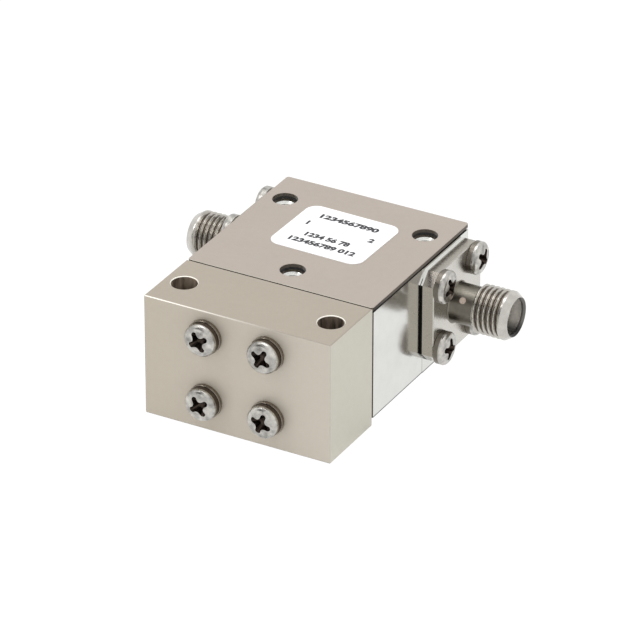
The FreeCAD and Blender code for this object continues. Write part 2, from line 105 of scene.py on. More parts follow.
# Cosines to such a way at which a tone starts and is full: on faces turned elsewhere, and then on faces
# turned that way, from wide to narrow
NOT_ALONG = (0.5, 0.2)
BROAD, BEVEL, EDGE, FINE_EDGE = (0.8, 0.95), (0.86, 0.94), (0.88, 0.96), (0.9, 0.96)
FACE, CORNER, FLAT = (0.93, 0.98), (0.95, 0.99), (0.97, 0.99)

# Most that the normal of an upright wall leans along Z
UPRIGHT = 0.3

# How far noise is drawn out along the axes: evenly, or in fine lines round X or round Z
EVEN, ROUND_X, ROUND_Z = (1, 1, 1), (1, 60, 60), (60, 60, 1)

# The range that holds most of a noise texture's values
NOISE_RANGE = (0.3, 0.7)

# Pitch of the tapped holes, and the radians that a wave texture of scale 1 turns in a metre
HOLE_PITCH = 0.635 * MM
WAVE_RADIANS = 20

# Non-metals: slot, material, two tones, roughness, size of the patches and depth of the bump
NON_METALS = [
    # The film under the cover is near black, as painted shade in the gap under the cover's edge
    ("black_film", "shade_film", (0.012, 0.012, 0.013), (0.03, 0.03, 0.03), 0.6, 0.5 * MM, 0.002 * MM),
    ("white_insulator", "fluoropolymer", (0.80, 0.80, 0.77), (0.86, 0.86, 0.84), 0.45, 0.6 * MM, 0.001 * MM),
    ("captivation_epoxy", "epoxy", (0.42, 0.33, 0.27), (0.62, 0.52, 0.44), 0.2, 0.3 * MM, 0.001 * MM),
    ("ferrite", "ferrite", (0.035, 0.033, 0.034), (0.06, 0.058, 0.058), 0.5, 0.4 * MM, 0.001 * MM),
    ("ceramic_ring", "ceramic", (0.80, 0.78, 0.73), (0.88, 0.87, 0.83), 0.4, 0.5 * MM, 0.001 * MM),
    ("magnet", "magnet", (0.05, 0.05, 0.052), (0.09, 0.09, 0.092), 0.55, 0.5 * MM, 0.002 * MM),
    ("resistor_rod", "resistor_film", (0.10, 0.06, 0.04), (0.15, 0.09, 0.06), 0.45, 0.4 * MM, 0.001 * MM),
]

# The point that the camera and lamps look at, and each lamp's name, place, size and power
AIM = Vector((2.024, -5.998, 8.683)) * MM
LAMPS = [("overhead", (-0.1, 0.1, 0.9), 0.5, 2.0), ("key", (-0.25, -0.29, 0.46), 0.2, 0.40)]

# Floor: half its side, its colour, and how much of it glows, and how brightly, where it is seen
FLOOR_REACH = 4.0
FLOOR_COLOUR = (0.9, 0.9, 0.9, 1)
FLOOR_GLOW, GLOW_STRENGTH = 0.93, 1.06

# Camera: width of its sensor in millimetres, and its clipping as shares of its distance
SENSOR_WIDTH = 36.0
CLIP_NEAR, CLIP_FAR = 0.1, 20


# Properties

def length(name, millimetres, description):
    """A length property, given in millimetres and kept in metres."""
    return FloatProperty(name=name, description=description, default=millimetres * MM, unit="LENGTH",
                         precision=5)


def angle(name, degrees, description):
    """An angle property, given in degrees and kept in radians."""
    return FloatProperty(name=name, description=description, default=math.radians(degrees),
                         unit="ROTATION")


def share(name, value, description):
    """A property from 0 to 1."""
    return FloatProperty(name=name, description=description, default=value, min=0.0, max=1.0,
                         subtype="FACTOR")


def colour(name, value, description):
    """A colour property, in linear light."""
    return FloatVectorProperty(name=name, description=description, default=value, min=0.0, max=1.0,
                               size=3, subtype="COLOR")


class FinishSettings(bpy.types.PropertyGroup):
    """Colours and roughness of the surfaces that show."""
    satin_colour: colour("Satin nickel", (0.408, 0.362, 0.300), "Warm satin plate of the load block")
    # Painted light: the plate is lighter on faces turned to -Y, more so to their right, and on faces turned
    # to +X, as lit copies of the one plate
    satin_front: colour("Satin front", (0.502, 0.448, 0.366),
                        "The same plate at the left of faces turned to -Y")
    satin_front_right: colour("Satin front right", (0.602, 0.556, 0.486), "The same plate at their right")
    satin_side: colour("Satin side", (0.618, 0.597, 0.518), "The same plate on faces turned to +X")
    cover_colour: colour("Satin cover", (0.432, 0.380, 0.333), "Warm satin plate of the cover")
    satin_roughness: share("Satin roughness", 0.55, "How dull the satin plate is")
    satin_metal: share("Satin metal", 0.5,
                       "How much of the satin plate's light is mirrored and not scattered")
    # Painted highlight: near white on the load block's top front corner, fading towards +X, and in a ring
    # round its holes
    edge_highlight_colour: colour("Edge highlight", (1.0, 0.96, 0.88),
                             "Painted highlight on the load block's top front corner and round its holes")
    # Painted highlight, softer, on the load block's upright front corner and on the cover's top front corner
    # at the seam
    soft_highlight_colour: colour("Soft highlight", (0.56, 0.53, 0.46), "Upright corner between faces that show")
    # Painted highlight, faint, on the rest of the load block's top front corner
    fading_highlight_colour: colour("Fading highlight", (0.40, 0.36, 0.305), "The rest of the top's front corner")
    shaded_edge_colour: colour("Shaded edge", (0.24, 0.23, 0.22), "Corners round the far and lower sides")
    # Painted shade: dark on the cover's cut edges and hole walls, on the walls of the housing's spot faces
    # and, lighter, on the housing's corner at the load block
    cut_edge_shade_colour: colour("Cut edge shade", (0.135, 0.115, 0.095), "Painted shade on the cover plate's cut edges and hole walls, the spot faces' walls and the housing's corner")
    seam_colour: colour("Seam", (0.03, 0.024, 0.018),
                        "Shade in the seam behind the load block and at the housing's foot")
    # Painted shade and reflections: the block's hole walls are dark as shade inside them, with strong light
    # streaks standing in for reflections
    drilled_colour: colour("Drilled wall", (0.22, 0.175, 0.135), "Walls of the load block's upright holes")
    bright_colour: colour("Bright nickel", (0.70, 0.70, 0.675), "Nearly mirror plate of the housing")
    bright_roughness: share("Bright roughness", 0.15, "How dull the bright plate is")
    jack_colour: colour("Jack steel", (0.50, 0.480, 0.44), "Turned stainless steel of the jacks")
    # Painted light and shade: the jack steel is lighter on the flange's and nose's faces, and darker on the
    # flange's upper edge, front edge and cut corner
    jack_face_colour: colour("Jack faces", (0.60, 0.58, 0.54),
                             "The same steel on the flange's and nose's faces")
    jack_top_colour: colour("Jack top", (0.42, 0.395, 0.35), "The same steel on the flange's upper edge")
    jack_side_colour: colour("Jack side", (0.46, 0.425, 0.37), "The same steel on the flange's front edge")
    jack_corner_colour: colour("Jack corner", (0.36, 0.33, 0.295),
                               "The same steel on the flange's cut corner")
    jack_roughness: share("Jack roughness", 0.24, "How dull the turned steel is")
    # Painted light: the same steel, lighter on the nose's cone
    nose_colour: colour("Jack nose", (0.56, 0.54, 0.505), "The same steel on the nose's cone")
    # Painted reflection: the necks are painted dark, as if they mirrored dark surroundings
    neck_shade_colour: colour("Neck", (0.205, 0.19, 0.16), "Painted reflection of dark surroundings on the jacks' necks")
    bore_colour: colour("Socket wall", (0.53, 0.50, 0.455), "Smooth wall of the jacks' sockets")
    # Painted shade in the roots of the jacks' threads
    root_shade_colour: colour("Thread root", (0.20, 0.175, 0.15), "Painted shade at the bottom of the jacks' threads")
    screw_colour: colour("Screw steel", (0.47, 0.455, 0.425), "Stainless steel of the screws' heads")
    screw_roughness: share("Screw roughness", 0.30, "How dull the screws are")
    # Painted shade: the sides of the screws' heads are dark, as shade under the heads and a dark reflection
    flank_shade_colour: colour("Head flank", (0.11, 0.088, 0.07),
                         "Side of the screws' heads, painted dark as shade and a dark reflection")
    # Painted reflection: port 2's flange screws have sides painted darker, as they mirror the flange
    jack_flank_shade_colour: colour("Flange screw flank", (0.20, 0.18, 0.155),
                              "Sides of the screws on port 2's flange")
    washer_colour: colour("Washer", (0.23, 0.20, 0.165), "Spring steel of the lock washers")
    # Painted shade inside the cross recesses
    recess_shade_colour: colour("Recess", (0.055, 0.041, 0.033), "Painted shade inside the cross recesses")
    label_colour: colour("Label", (0.93, 0.93, 0.94), "White film of the label")
    ink_colour: colour("Ink", (0.018, 0.018, 0.022), "Black print of the label")


class JackSettings(bpy.types.PropertyGroup):
    """Sizes of the jacks that the frame's boxes don't give."""
    flange_thickness: length("Flange thickness", 1.57, "Plate thickness of the square flange")
    flange_corner: length("Flange corner", 1.5, "Leg of the cut at each flange corner")
    edge_break: length("Edge break", 0.12, "Chamfer round the flange's front face")
    screw_hole: length("Screw hole", 2.5, "Diameter of the flange's clearance holes")
    screw_spacing: length("Screw spacing", 8.64, "Side of the flange's square of screws")
    neck_diameter: length("Neck diameter", 5.2, "Plain neck between flange and thread")
    neck_length: length("Neck length", 3.2, "From the flange's face to the thread")
    neck_fillet: length("Neck fillet", 0.2, "Round between flange and neck")
    thread_diameter: length("Thread diameter", 6.35, "Outside of the thread")
    thread_pitch: length("Thread pitch", 0.7056, "Thirty-six turns to the inch")
    thread_depth: length("Thread depth", 0.40, "From crest to root")
    lead_in: length("Lead-in", 0.35, "Cone from the neck up to the thread")
    plain_nose: length("Plain nose", 1.08, "From the last turn of the thread to the nose face")
    nose_chamfer: length("Nose chamfer", 0.9, "Length of the cone at the nose")
    nose_diameter: length("Nose diameter", 5.2, "Outside of the nose's rim")
    socket_diameter: length("Socket diameter", 4.6, "Bore that takes the plug")
    socket_depth: length("Socket depth", 1.9, "From the nose to the reference plane")
    socket_chamfer: length("Socket chamfer", 0.24, "Chamfer at the bore's mouth")
    mouth_shade: length("Mouth shade", 0.5, "How deep the shaded start of that bore reaches")
    insulator_bore: length("Insulator bore", 4.14, "Bore round the insulator")
    plug_hole: length("Plug hole", 0.85, "Radial hole that the epoxy fills")
    plug_position: length("Plug position", 1.8, "From the flange's face to that hole")
    plug_angle: angle("Plug angle", 142.0, "Way that hole points, from +Y towards +Z")
    segments: IntProperty(name="Segments", description="Steps round the barrel", default=128, min=16, max=256)


class ScrewSettings(bpy.types.PropertyGroup):
    """Sizes of the pan-head screws and their lock washers."""
    diameter: length("Screw diameter", 2.18, "Outside of the thread")
    pitch: length("Screw pitch", 0.4536, "Fifty-six turns to the inch")
    thread_depth: length("Screw thread depth", 0.24, "From crest to root")
    point_chamfer: length("Point chamfer", 0.3, "Chamfer at the screw's point")
    head_diameter: length("Head diameter", 4.3, "Across the pan head")
    head_side: length("Head side", 0.85, "Straight side of the head")
    shoulder_height: length("Shoulder height", 1.24, "From the seat to the edge of the crown")
    shoulder_share: share("Shoulder share", 0.72, "Radius of the crown's edge, as a share of the head's")
    head_height: length("Head height", 1.5, "From the seat to the top")
    recess_reach: length("Recess reach", 1.57, "From the middle to a wing's tip at the top")
    recess_width: length("Recess width", 0.38, "Half a wing's width at the top")
    recess_depth: length("Recess depth", 0.95, "Below the head's top")
    washer_bore: length("Washer bore", 2.4, "Bore of the lock washer")
    washer_diameter: length("Washer diameter", 4.55, "Outside of the lock washer")
    washer_gap: length("Washer gap", 0.3, "Gap at the washer's split")
    block_screw_length: length("Block screw length", 14.8, "Under the head")
    flange_screw_length: length("Flange screw length", 4.8, "Under the head")


class LabelSettings(bpy.types.PropertyGroup):
    """Layout of the label's plain print."""
    turn: angle("Label turn", -1.2, "How far askew the label sits")
    row_height: length("Row height", 1.15, "Height of the rows of figures")
    digit_height: length("Digit height", 1.05, "Height of the port numbers")
    weight: length("Weight", 0.10, "How much bolder than its font the print is, on each side")
    ink_height: length("Ink height", 0.004, "How far the print stands proud")


class StudioSettings(bpy.types.PropertyGroup):
    """Camera and light."""
    azimuth: angle("Azimuth", 28.884, "Way the camera looks, from +Y towards -X")
    elevation: angle("Elevation", 29.047, "Height of the camera above the horizon")
    roll: angle("Roll", 0.10, "Turn of the camera about its own axis")
    distance: length("Distance", 682.45, "From the camera to the point it looks at")
    lens: FloatProperty(name="Lens", description="Focal length, in millimetres", default=309.81)
    sky_strength: FloatProperty(name="Sky strength", description="Level of the plain white surroundings",
                                default=1.0)
    card_level: share("Card level", 0.08, "How light the dark flag beside the object is")


# Mesh tools

class Shaper:
    """Builds a mesh from rings of points."""

    def __init__(self):
        self.bm = bmesh.new()

    def ring(self, points):
        """New vertices at a closed ring of points."""
        return [self.bm.verts.new(point) for point in points]

    def skin(self, first, second):
        """A band of faces between two rings with as many points."""
        for index, corner in enumerate(first):
            after = (index + 1) % len(first)
            self.bm.faces.new((corner, first[after], second[after], second[index]))

    def skin_all(self, rings):
        """Bands between each ring and the next."""
        for first, second in zip(rings, rings[1:]):
            self.skin(first, second)

    def fan(self, ring, point):
        """Triangles from a ring to one point."""
        tip = self.bm.verts.new(point)
        for index, corner in enumerate(ring):
            self.bm.faces.new((corner, ring[(index + 1) % len(ring)], tip))

    def fill(self, *loops):
        """A flat face between an outer ring and the rings of its holes."""
        edges = []
        for loop in loops:
            for index, corner in enumerate(loop):
                pair = (corner, loop[(index + 1) % len(loop)])
                edges.append(self.bm.edges.get(pair) or self.bm.edges.new(pair))
        bmesh.ops.triangle_fill(self.bm, use_beauty=True, use_dissolve=False, edges=edges)

    def add(self, mesh, matrix):
        """A copy of a mesh, put in place by a matrix."""
        known = len(self.bm.verts)
        self.bm.from_mesh(mesh)
        self.bm.verts.ensure_lookup_table()
        bmesh.ops.transform(self.bm, matrix=matrix, verts=self.bm.verts[known:])

    def mesh(self, name, closed=True):
        """The finished mesh, with smooth faces and sharp edges where it turns."""
        if closed:
            bmesh.ops.recalc_face_normals(self.bm, faces=self.bm.faces)
        made = bpy.data.meshes.new(name)
        self.bm.to_mesh(made)
        self.bm.free()
        soften(made)
        return made


def soften(mesh):
    """Smooth shading that breaks at sharp edges."""
    bm = bmesh.new()
    bm.from_mesh(mesh)
    for face in bm.faces:
        face.smooth = True
    for edge in bm.edges:
        edge.smooth = len(edge.link_faces) == 2 and edge.calc_face_angle(0.0) < SHARP_ANGLE
    bm.to_mesh(mesh)
    bm.free()


def circle(x, radius, count, y=0.0, z=0.0):
    """A ring of points round the X axis, or round a line beside it."""
    return [(x, y + radius * math.cos(turn), z + radius * math.sin(turn)) for turn in turns(count)]


def turns(count):
    """Equal steps round a full turn, in radians."""
    return [2 * math.pi * index / count for index in range(count)]


def quarter_turn():
    """Equal steps round a quarter turn, both ends included, in radians."""
    return [math.pi / 2 * index / FILLET_STEPS for index in range(FILLET_STEPS + 1)]


def polar(x, radius, turn):
    """The point at a distance from the X axis and a turn round it."""
    return (x, radius * math.cos(turn), radius * math.sin(turn))


def arc(first, middle, last, count):
    """Points of the arc through three (x, y) points, both ends included."""
    (ax, ay), (bx, by), (cx, cy) = first, middle, last
    twice = 2 * (ax * (by - cy) + bx * (cy - ay) + cx * (ay - by))
    a, b, c = ax * ax + ay * ay, bx * bx + by * by, cx * cx + cy * cy
    x = (a * (by - cy) + b * (cy - ay) + c * (ay - by)) / twice
    y = (a * (cx - bx) + b * (ax - cx) + c * (bx - ax)) / twice
    start = math.atan2(ay - y, ax - x)
    sweep = (math.atan2(cy - y, cx - x) - start + math.pi) % (2 * math.pi) - math.pi
    radius = math.hypot(ax - x, ay - y)
    angles = [start + sweep * index / (count - 1) for index in range(count)]
    return [(x + radius * math.cos(turn), y + radius * math.sin(turn)) for turn in angles]


def steps(start, end, size):
    """Values from start to end, both included, at most a size apart."""
    count = max(1, math.ceil((end - start) / size))
    return [start + (end - start) * index / count for index in range(count + 1)]


def thread_cut(x, turn, pitch):
    """How deep a thread is cut at a place, from 0 on its crest to 1 in its root."""
    crest, root = 0.12, 0.18
    height = abs((x / pitch - turn / (2 * math.pi)) % 1 - 0.5) * 2
    return min(1.0, max(0.0, (1 - crest - height) / (1 - crest - root)))


def ease(value):
    """0 below 0, 1 above 1 and smooth between."""
    value = min(1.0, max(0.0, value))
    return value * value * (3 - 2 * value)


def place_object(name, mesh, material=None, node=None):
    """A new piece that rides on the part, and stands for a node if one is given."""
    piece = bpy.data.objects.new(name, mesh)
    bpy.context.scene.collection.objects.link(piece)
    if material:
        mesh.materials.clear()
        mesh.materials.append(material)
    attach(piece, BODY)
    if node:
        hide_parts(node)


def carve(mesh, cutter, name):
    """A mesh less another, keeping the other's material where it cuts."""
    whole = bpy.data.objects.new(name, mesh)
    tool = bpy.data.objects.new(name + "_tool", cutter)
    for item in (whole, tool):
        bpy.context.scene.collection.objects.link(item)
    cut = whole.modifiers.new("Cut", "BOOLEAN")
    cut.operation = "DIFFERENCE"
    cut.solver = "EXACT"
    cut.material_mode = "TRANSFER"
    cut.object = tool
    bpy.context.view_layer.update()
    made = bpy.data.meshes.new_from_object(whole.evaluated_get(bpy.context.evaluated_depsgraph_get()))
    if len(made.polygons) == len(mesh.polygons):
        raise RuntimeError(f"nothing was cut from {name}")
    for item in (whole, tool):
        bpy.data.objects.remove(item)
    soften(made)
    return made


# Materials

def combined(tree, operation, first, second, clamp=False):
    """The result of a Math node on two outputs, or on an output and a number."""
    node = tree.nodes.new("ShaderNodeMath")
    node.operation = operation
    node.use_clamp = clamp
    tree.links.new(first, node.inputs[0])
    if isinstance(second, float):
        node.inputs[1].default_value = second
    else:
        tree.links.new(second, node.inputs[1])
    return node.outputs["Value"]


class Finish:
    """A material built node by node round one Principled shader."""

    def __init__(self, name, metallic=0.0):
        self.material = bpy.data.materials.new(name)
        self.material.use_nodes = True
        self.tree = self.material.node_tree
        self.surface = self.tree.nodes["Principled BSDF"]
        self.surface.inputs["Metallic"].default_value = metallic
        where = self.tree.nodes.new("ShaderNodeTexCoord")
        self.place = where.outputs["Object"]
        self.normal = where.outputs["Normal"]

    def link(self, output, socket):
        """One link of the tree."""
        self.tree.links.new(output, socket)

    def noise(self, size, detail=4.0, stretch=EVEN):
        """Noise whose patches are about a size across, longer where stretch is over 1."""
        scale = self.tree.nodes.new("ShaderNodeMapping")
        scale.inputs["Scale"].default_value = [1 / (size * s) for s in stretch]
        self.link(self.place, scale.inputs["Vector"])
        texture = self.tree.nodes.new("ShaderNodeTexNoise")
        texture.inputs["Scale"].default_value = 1.0
        texture.inputs["Detail"].default_value = detail
        self.link(scale.outputs["Vector"], texture.inputs["Vector"])
        return texture.outputs["Fac"]

    def remap(self, value, ends, new_ends=(0.0, 1.0)):
        """A value's range between two ends, stretched to new ends and held there."""
        node = self.tree.nodes.new("ShaderNodeMapRange")
        for name, end in zip(("From Min", "From Max", "To Min", "To Max"), (*ends, *new_ends)):
            node.inputs[name].default_value = end
        self.link(value, node.inputs["Value"])
        return node.outputs["Result"]

    def mix(self, mask, colour):
        """A mix of colours that ends at this colour where a mask is 1."""
        node = self.tree.nodes.new("ShaderNodeMix")
        node.data_type = "RGBA"
        node.inputs["B"].default_value = (*colour, 1)
        self.link(mask, node.inputs["Factor"])
        return node

    def colours(self, value, first, second):
        """Base colour between two colours, by a noise."""
        mix = self.mix(self.remap(value, NOISE_RANGE), second)
        mix.inputs["A"].default_value = (*first, 1)
        self.link(mix.outputs["Result"], self.surface.inputs["Base Color"])

    def colour_where(self, mask, colour):
        """Another base colour over the first where a mask is 1."""
        base = self.surface.inputs["Base Color"]
        mix = self.mix(mask, colour)
        self.link(base.links[0].from_socket, mix.inputs["A"])
        self.link(mix.outputs["Result"], base)

    def facing(self, way, none, full):
        """A mask from 0 to 1 by how squarely the surface faces a way, as a cosine."""
        lean = self.tree.nodes.new("ShaderNodeVectorMath")
        lean.operation = "DOT_PRODUCT"
        lean.inputs[1].default_value = Vector(way).normalized()
        self.link(self.normal, lean.inputs[0])
        return self.remap(lean.outputs["Value"], (none, full))

    def along(self, axis, none, full):
        """A mask from 0 to 1 by place between two coordinates along an axis."""
        parts = self.tree.nodes.new("ShaderNodeSeparateXYZ")
        self.link(self.place, parts.inputs["Vector"])
        return self.remap(parts.outputs[axis], (none, full))

    def tones(self, faces):
        """Other colours, each on faces turned a way, and some only along a reach: (axis, none, full)."""
        for way, cosines, colour, *reach in faces:
            mask = self.facing(way, *cosines)
            if reach:
                mask = combined(self.tree, "MULTIPLY", mask, self.along(*reach[0]))
            self.colour_where(mask, colour)

    def roughness(self, value, low, high):
        """Roughness between two values, by a noise."""
        self.link(self.remap(value, NOISE_RANGE, (low, high)), self.surface.inputs["Roughness"])

    def bump(self, height, distance):
        """A bump as deep as a distance where a height is 1."""
        node = self.tree.nodes.new("ShaderNodeBump")
        node.inputs["Distance"].default_value = distance
        self.link(height, node.inputs["Height"])
        self.link(node.outputs["Normal"], self.surface.inputs["Normal"])


def tinted(base, factor):
    """A colour made lighter or darker."""
    return tuple(min(1.0, part * factor) for part in base)


def plated(name, base, roughness, patch, spread, waviness, tones=(), metallic=1.0):
    """Plated metal: faint patches of tone, a slight waviness and its own tones on some faces."""
    finish = Finish(name, metallic)
    finish.colours(finish.noise(patch), tinted(base, 1 - spread), tinted(base, 1 + spread))
    finish.tones(tones)
    grain = finish.noise(0.8 * MM, detail=6.0)
    finish.roughness(grain, roughness * 0.92, roughness * 1.08)
    finish.bump(finish.noise(2.5 * MM, detail=1.0), waviness)
    return finish.material


def turned_steel(name, base, roughness, stretch=EVEN, spread=0.11, tones=()):
    """Turned or drawn metal: fine lines where noise is stretched, duller patches and mottled tone."""
    finish = Finish(name, metallic=1.0)
    finish.colours(finish.noise(0.9 * MM), tinted(base, 1 - spread), tinted(base, 1 + spread))
    finish.tones(tones)
    patches = finish.noise(0.35 * MM, detail=2.0)
    finish.roughness(patches, roughness * 0.85, roughness * 1.2)
    lines = finish.noise(0.05 * MM, detail=2.0, stretch=stretch)
    finish.bump(lines, 0.0004 * MM)
    return finish.material


def drilled_wall(name, base, dark, light, shades=()):
    """A hole's wall, part mirror and part dull, with streaks of tone and reaches along Z darkened as painted
    shade.
    """
    finish = Finish(name, metallic=0.3)
    streaks = finish.noise(0.9 * MM, detail=3.0, stretch=(1, 1, 5))
    finish.colours(streaks, tinted(base, dark), tinted(base, light))
    shaded = tinted(base, 0.1)
    for none, full in shades:
        finish.colour_where(finish.along("Z", none, full), shaded)
    finish.roughness(finish.noise(0.3 * MM), 0.28, 0.42)
    rings = finish.noise(0.06 * MM, detail=2.0, stretch=(40, 40, 1))
    finish.bump(rings, 0.002 * MM)
    return finish.material


def tapped_wall(name, base):
    """Bright metal with the turns of a tapped thread as fine rings along Z."""
    finish = Finish(name, metallic=0.4)
    finish.colours(finish.noise(0.5 * MM), tinted(base, 0.9), base)
    finish.roughness(finish.noise(0.3 * MM), 0.30, 0.42)
    wave = finish.tree.nodes.new("ShaderNodeTexWave")
    wave.bands_direction = "Z"
    wave.inputs["Scale"].default_value = 2 * math.pi / (WAVE_RADIANS * HOLE_PITCH)
    finish.link(finish.place, wave.inputs["Vector"])
    finish.bump(wave.outputs["Fac"], 0.02 * MM)
    return finish.material


def plain(name, first, second, roughness, patch, bump):
    """A non-metal: two close tones in small patches, with a fine bump."""
    finish = Finish(name)
    finish.colours(finish.noise(patch), first, second)
    finish.roughness(finish.noise(patch * 0.5), roughness * 0.85, min(1.0, roughness * 1.15))
    finish.bump(finish.noise(patch * 0.25, detail=5.0), bump)
    return finish.material


def shaded_edges(look):
    """Tones of the corners round the far and lower sides."""
    ways = ((-1, -1, 0), (-1, 0, 1), (0, -1, -1), (1, 0, -1))
    return [(way, EDGE, look.shaded_edge_colour) for way in ways]


def block_tones(look):
    """Tones of the load block's faces and edges: painted light on its front and right faces, painted
    highlights on its near corners and painted shade on its far and lower corners.
    """
    light_gradient_reach = ("X", cad_low.x, cad_high.x)
    highlight_reach = ("X", 6 * MM, -10 * MM)
    return [(FRONT, BROAD, look.satin_front), (FRONT, BROAD, look.satin_front_right, light_gradient_reach),
            (RIGHT, BROAD, look.satin_side), (SIDE_CORNER, BEVEL, look.soft_highlight_colour),
            (TOP_CORNER, BEVEL, look.fading_highlight_colour),
            (TOP_CORNER, BEVEL, look.edge_highlight_colour, highlight_reach)] + shaded_edges(look)


def cover_tones(look):
    """Tones of the cover's cut edges and hole walls, all painted shade, darkest at the seam behind the load
    block, with a painted highlight on the top corner there.
    """
    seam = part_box("cover_plate")[0].y
    beside, within = ("Y", seam + 5 * MM, seam), ("Y", seam + 0.3 * MM, seam + 0.1 * MM)
    return [(UP, NOT_ALONG, look.cut_edge_shade_colour), (RIGHT, BROAD, look.seam_colour, beside),
            (FRONT, BROAD, look.seam_colour, within),
            (TOP_CORNER, FINE_EDGE, look.soft_highlight_colour, within)] + shaded_edges(look)


def housing_tones(look):
    """Tones of the housing: painted shade on its corner at the load block, and at its foot."""
    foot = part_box("housing")[0].z
    return [(SIDE_CORNER, EDGE, tinted(look.cut_edge_shade_colour, 0.6)),
            (RIGHT, BROAD, look.seam_colour, ("Z", foot + 0.16 * MM, foot + 0.1 * MM))]


def jack_tones(look):
    """Tones of the jacks' flat faces: painted light and shade, as lit and shaded copies of the one steel."""
    return [(LEFT, FACE, look.jack_face_colour), (RIGHT, FACE, look.jack_face_colour),
            (FRONT, FLAT, look.jack_side_colour), (UP, FLAT, look.jack_top_colour),
            (TOP_CORNER, CORNER, look.jack_corner_colour)]


def socket_shades():
    """Reaches along Z of painted shade at the top and bottom of the sockets, which lie at one height."""
    low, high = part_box("port_2_shell")
    axis = (low.z + high.z) / 2
    return [(axis + 1.5 * MM, axis + 2.2 * MM), (axis - 1.5 * MM, axis - 2.2 * MM)]


def plate_finishes(look):
    """Plated metals."""
    satin = {"roughness": look.satin_roughness, "metallic": look.satin_metal, "patch": 5 * MM,
             "spread": 0.012, "waviness": 0.0008 * MM}
    return {
        "satin_nickel": plated("satin_nickel_plate", look.satin_colour, tones=block_tones(look), **satin),
        "cover": plated("satin_cover_plate", look.cover_colour, tones=cover_tones(look), **satin),
        # Painted highlight in a ring round the load block's holes
        "hole_rim_highlight": plated("hole_rim_highlight", look.edge_highlight_colour, look.satin_roughness,
                           patch=2 * MM, spread=0.02, waviness=0.0004 * MM),
        "bright_nickel": plated("bright_nickel_plate", look.bright_colour, look.bright_roughness,
                                patch=2 * MM, spread=0.03, waviness=0.004 * MM,
                                tones=housing_tones(look)),
        # Painted shade and light: the gasket is near black on its sides, as shade in the gap, and near white
        # where it faces up, as painted light
        "bright_foil": plated("gasket_shade_and_highlight", (0.012, 0.012, 0.011), roughness=0.35,
                              patch=1 * MM, spread=0.04, waviness=0.002 * MM,
                              tones=[(UP, (0.35, 0.6), (0.95, 0.95, 0.93))]),
        "silvered_brass": plated("silver_plate", (0.86, 0.84, 0.79), roughness=0.2,
                                 patch=1 * MM, spread=0.04, waviness=0.001 * MM),
        "magnetic_steel": plated("ground_soft_steel", (0.42, 0.42, 0.42), roughness=0.3,
                                 patch=1 * MM, spread=0.05, waviness=0.001 * MM),
    }


def turned_finishes(look):
    """Turned and drawn metals."""
    dull = look.jack_roughness
    return {
        "jack_steel": turned_steel("turned_jack_steel", look.jack_colour, dull, ROUND_X,
                                   tones=jack_tones(look)),
        "jack_nose": turned_steel("jack_nose", look.nose_colour, dull, ROUND_X),
        "jack_neck": turned_steel("jack_neck", look.neck_shade_colour, roughness=0.34, stretch=ROUND_X),
        "jack_root": turned_steel("thread_root", look.root_shade_colour, roughness=0.4, stretch=ROUND_X),
        "gold_contact": turned_steel("gold_plate", (0.83, 0.56, 0.18), roughness=0.16, stretch=ROUND_X),
        # Painted shade on the walls of the spot faces round the housing's tapped holes
        "spot_wall": turned_steel("spot_face_wall", look.cut_edge_shade_colour, roughness=0.4, stretch=ROUND_Z),
        "screw_steel": turned_steel("screw_steel", look.screw_colour, look.screw_roughness, spread=0.42),
        "head_flank": turned_steel("head_flank", look.flank_shade_colour, roughness=0.35),
        "jack_flank": turned_steel("flange_screw_flank", look.jack_flank_shade_colour, roughness=0.35),
        "washer": turned_steel("lock_washer", look.washer_colour, roughness=0.25),
        "recess": turned_steel("recess_painted_shade", look.recess_shade_colour, roughness=0.4, spread=0.5),
    }


def wall_finishes(look):
    """Walls of the holes and sockets."""
    # Painted shade at the socket's mouth, darker than its wall
    mouth_shade_colour = tinted(look.bore_colour, 0.25)
    shades = socket_shades()
    return {
        # Painted shade and reflections inside the load block's holes
        "drilled": drilled_wall("drilled_wall", look.drilled_colour, dark=0.15, light=2.2),
        "jack_bore": drilled_wall("socket_wall", look.bore_colour, dark=0.75, light=1.05, shades=shades),
        "jack_mouth": drilled_wall("socket_mouth", mouth_shade_colour, dark=0.75, light=1.2, shades=shades),
        # Painted light: the tapped walls are lighter than the housing's own plate, standing in for the light
        # seen inside the holes
        "tapped": tapped_wall("tapped_wall", tinted(look.bright_colour, 1.3)),
    }


def make_finishes():
    """Every finish, by the record's material slot or by the place that it paints."""
    look = bpy.context.scene.isolator_finish
    made = {**plate_finishes(look), **turned_finishes(look), **wall_finishes(look)}
    made["white_label"] = plain("label_film", look.label_colour, tinted(look.label_colour, 0.985),
                                roughness=0.42, patch=2 * MM, bump=0.0004 * MM)
    for slot, *recipe in NON_METALS:
        made[slot] = plain(*recipe)
    return made


finishes = {}


# The parts that the frame carries over

def paint(mesh, material, test):
    """One more material, on the faces that pass a test of their middle and normal."""
    mesh.materials.append(material)
    for face in mesh.polygons:
        if test(face.center, face.normal):
            face.material_index = len(mesh.materials) - 1


def paint_hole(node, mount, material, near, far, walls=False):
    """A material round a mount's upright holes, between two distances in millimetres outside them."""
    middle = Vector(mount["pos_m"])
    reach = mount["dims"].get("spacing_x_mm", 0) / 2 * MM
    radius = mount["dims"].get("hole_r_mm") or mount["dims"]["r_mm"]
    holes = {middle.x - reach, middle.x + reach}

    def inside(point, normal):
        across = min(math.hypot(point.x - x, point.y - middle.y) for x in holes)
        return near < across / MM - radius < far and (not walls or abs(normal.z) < UPRIGHT)

    paint(frame["nodes"][node].data, material, inside)


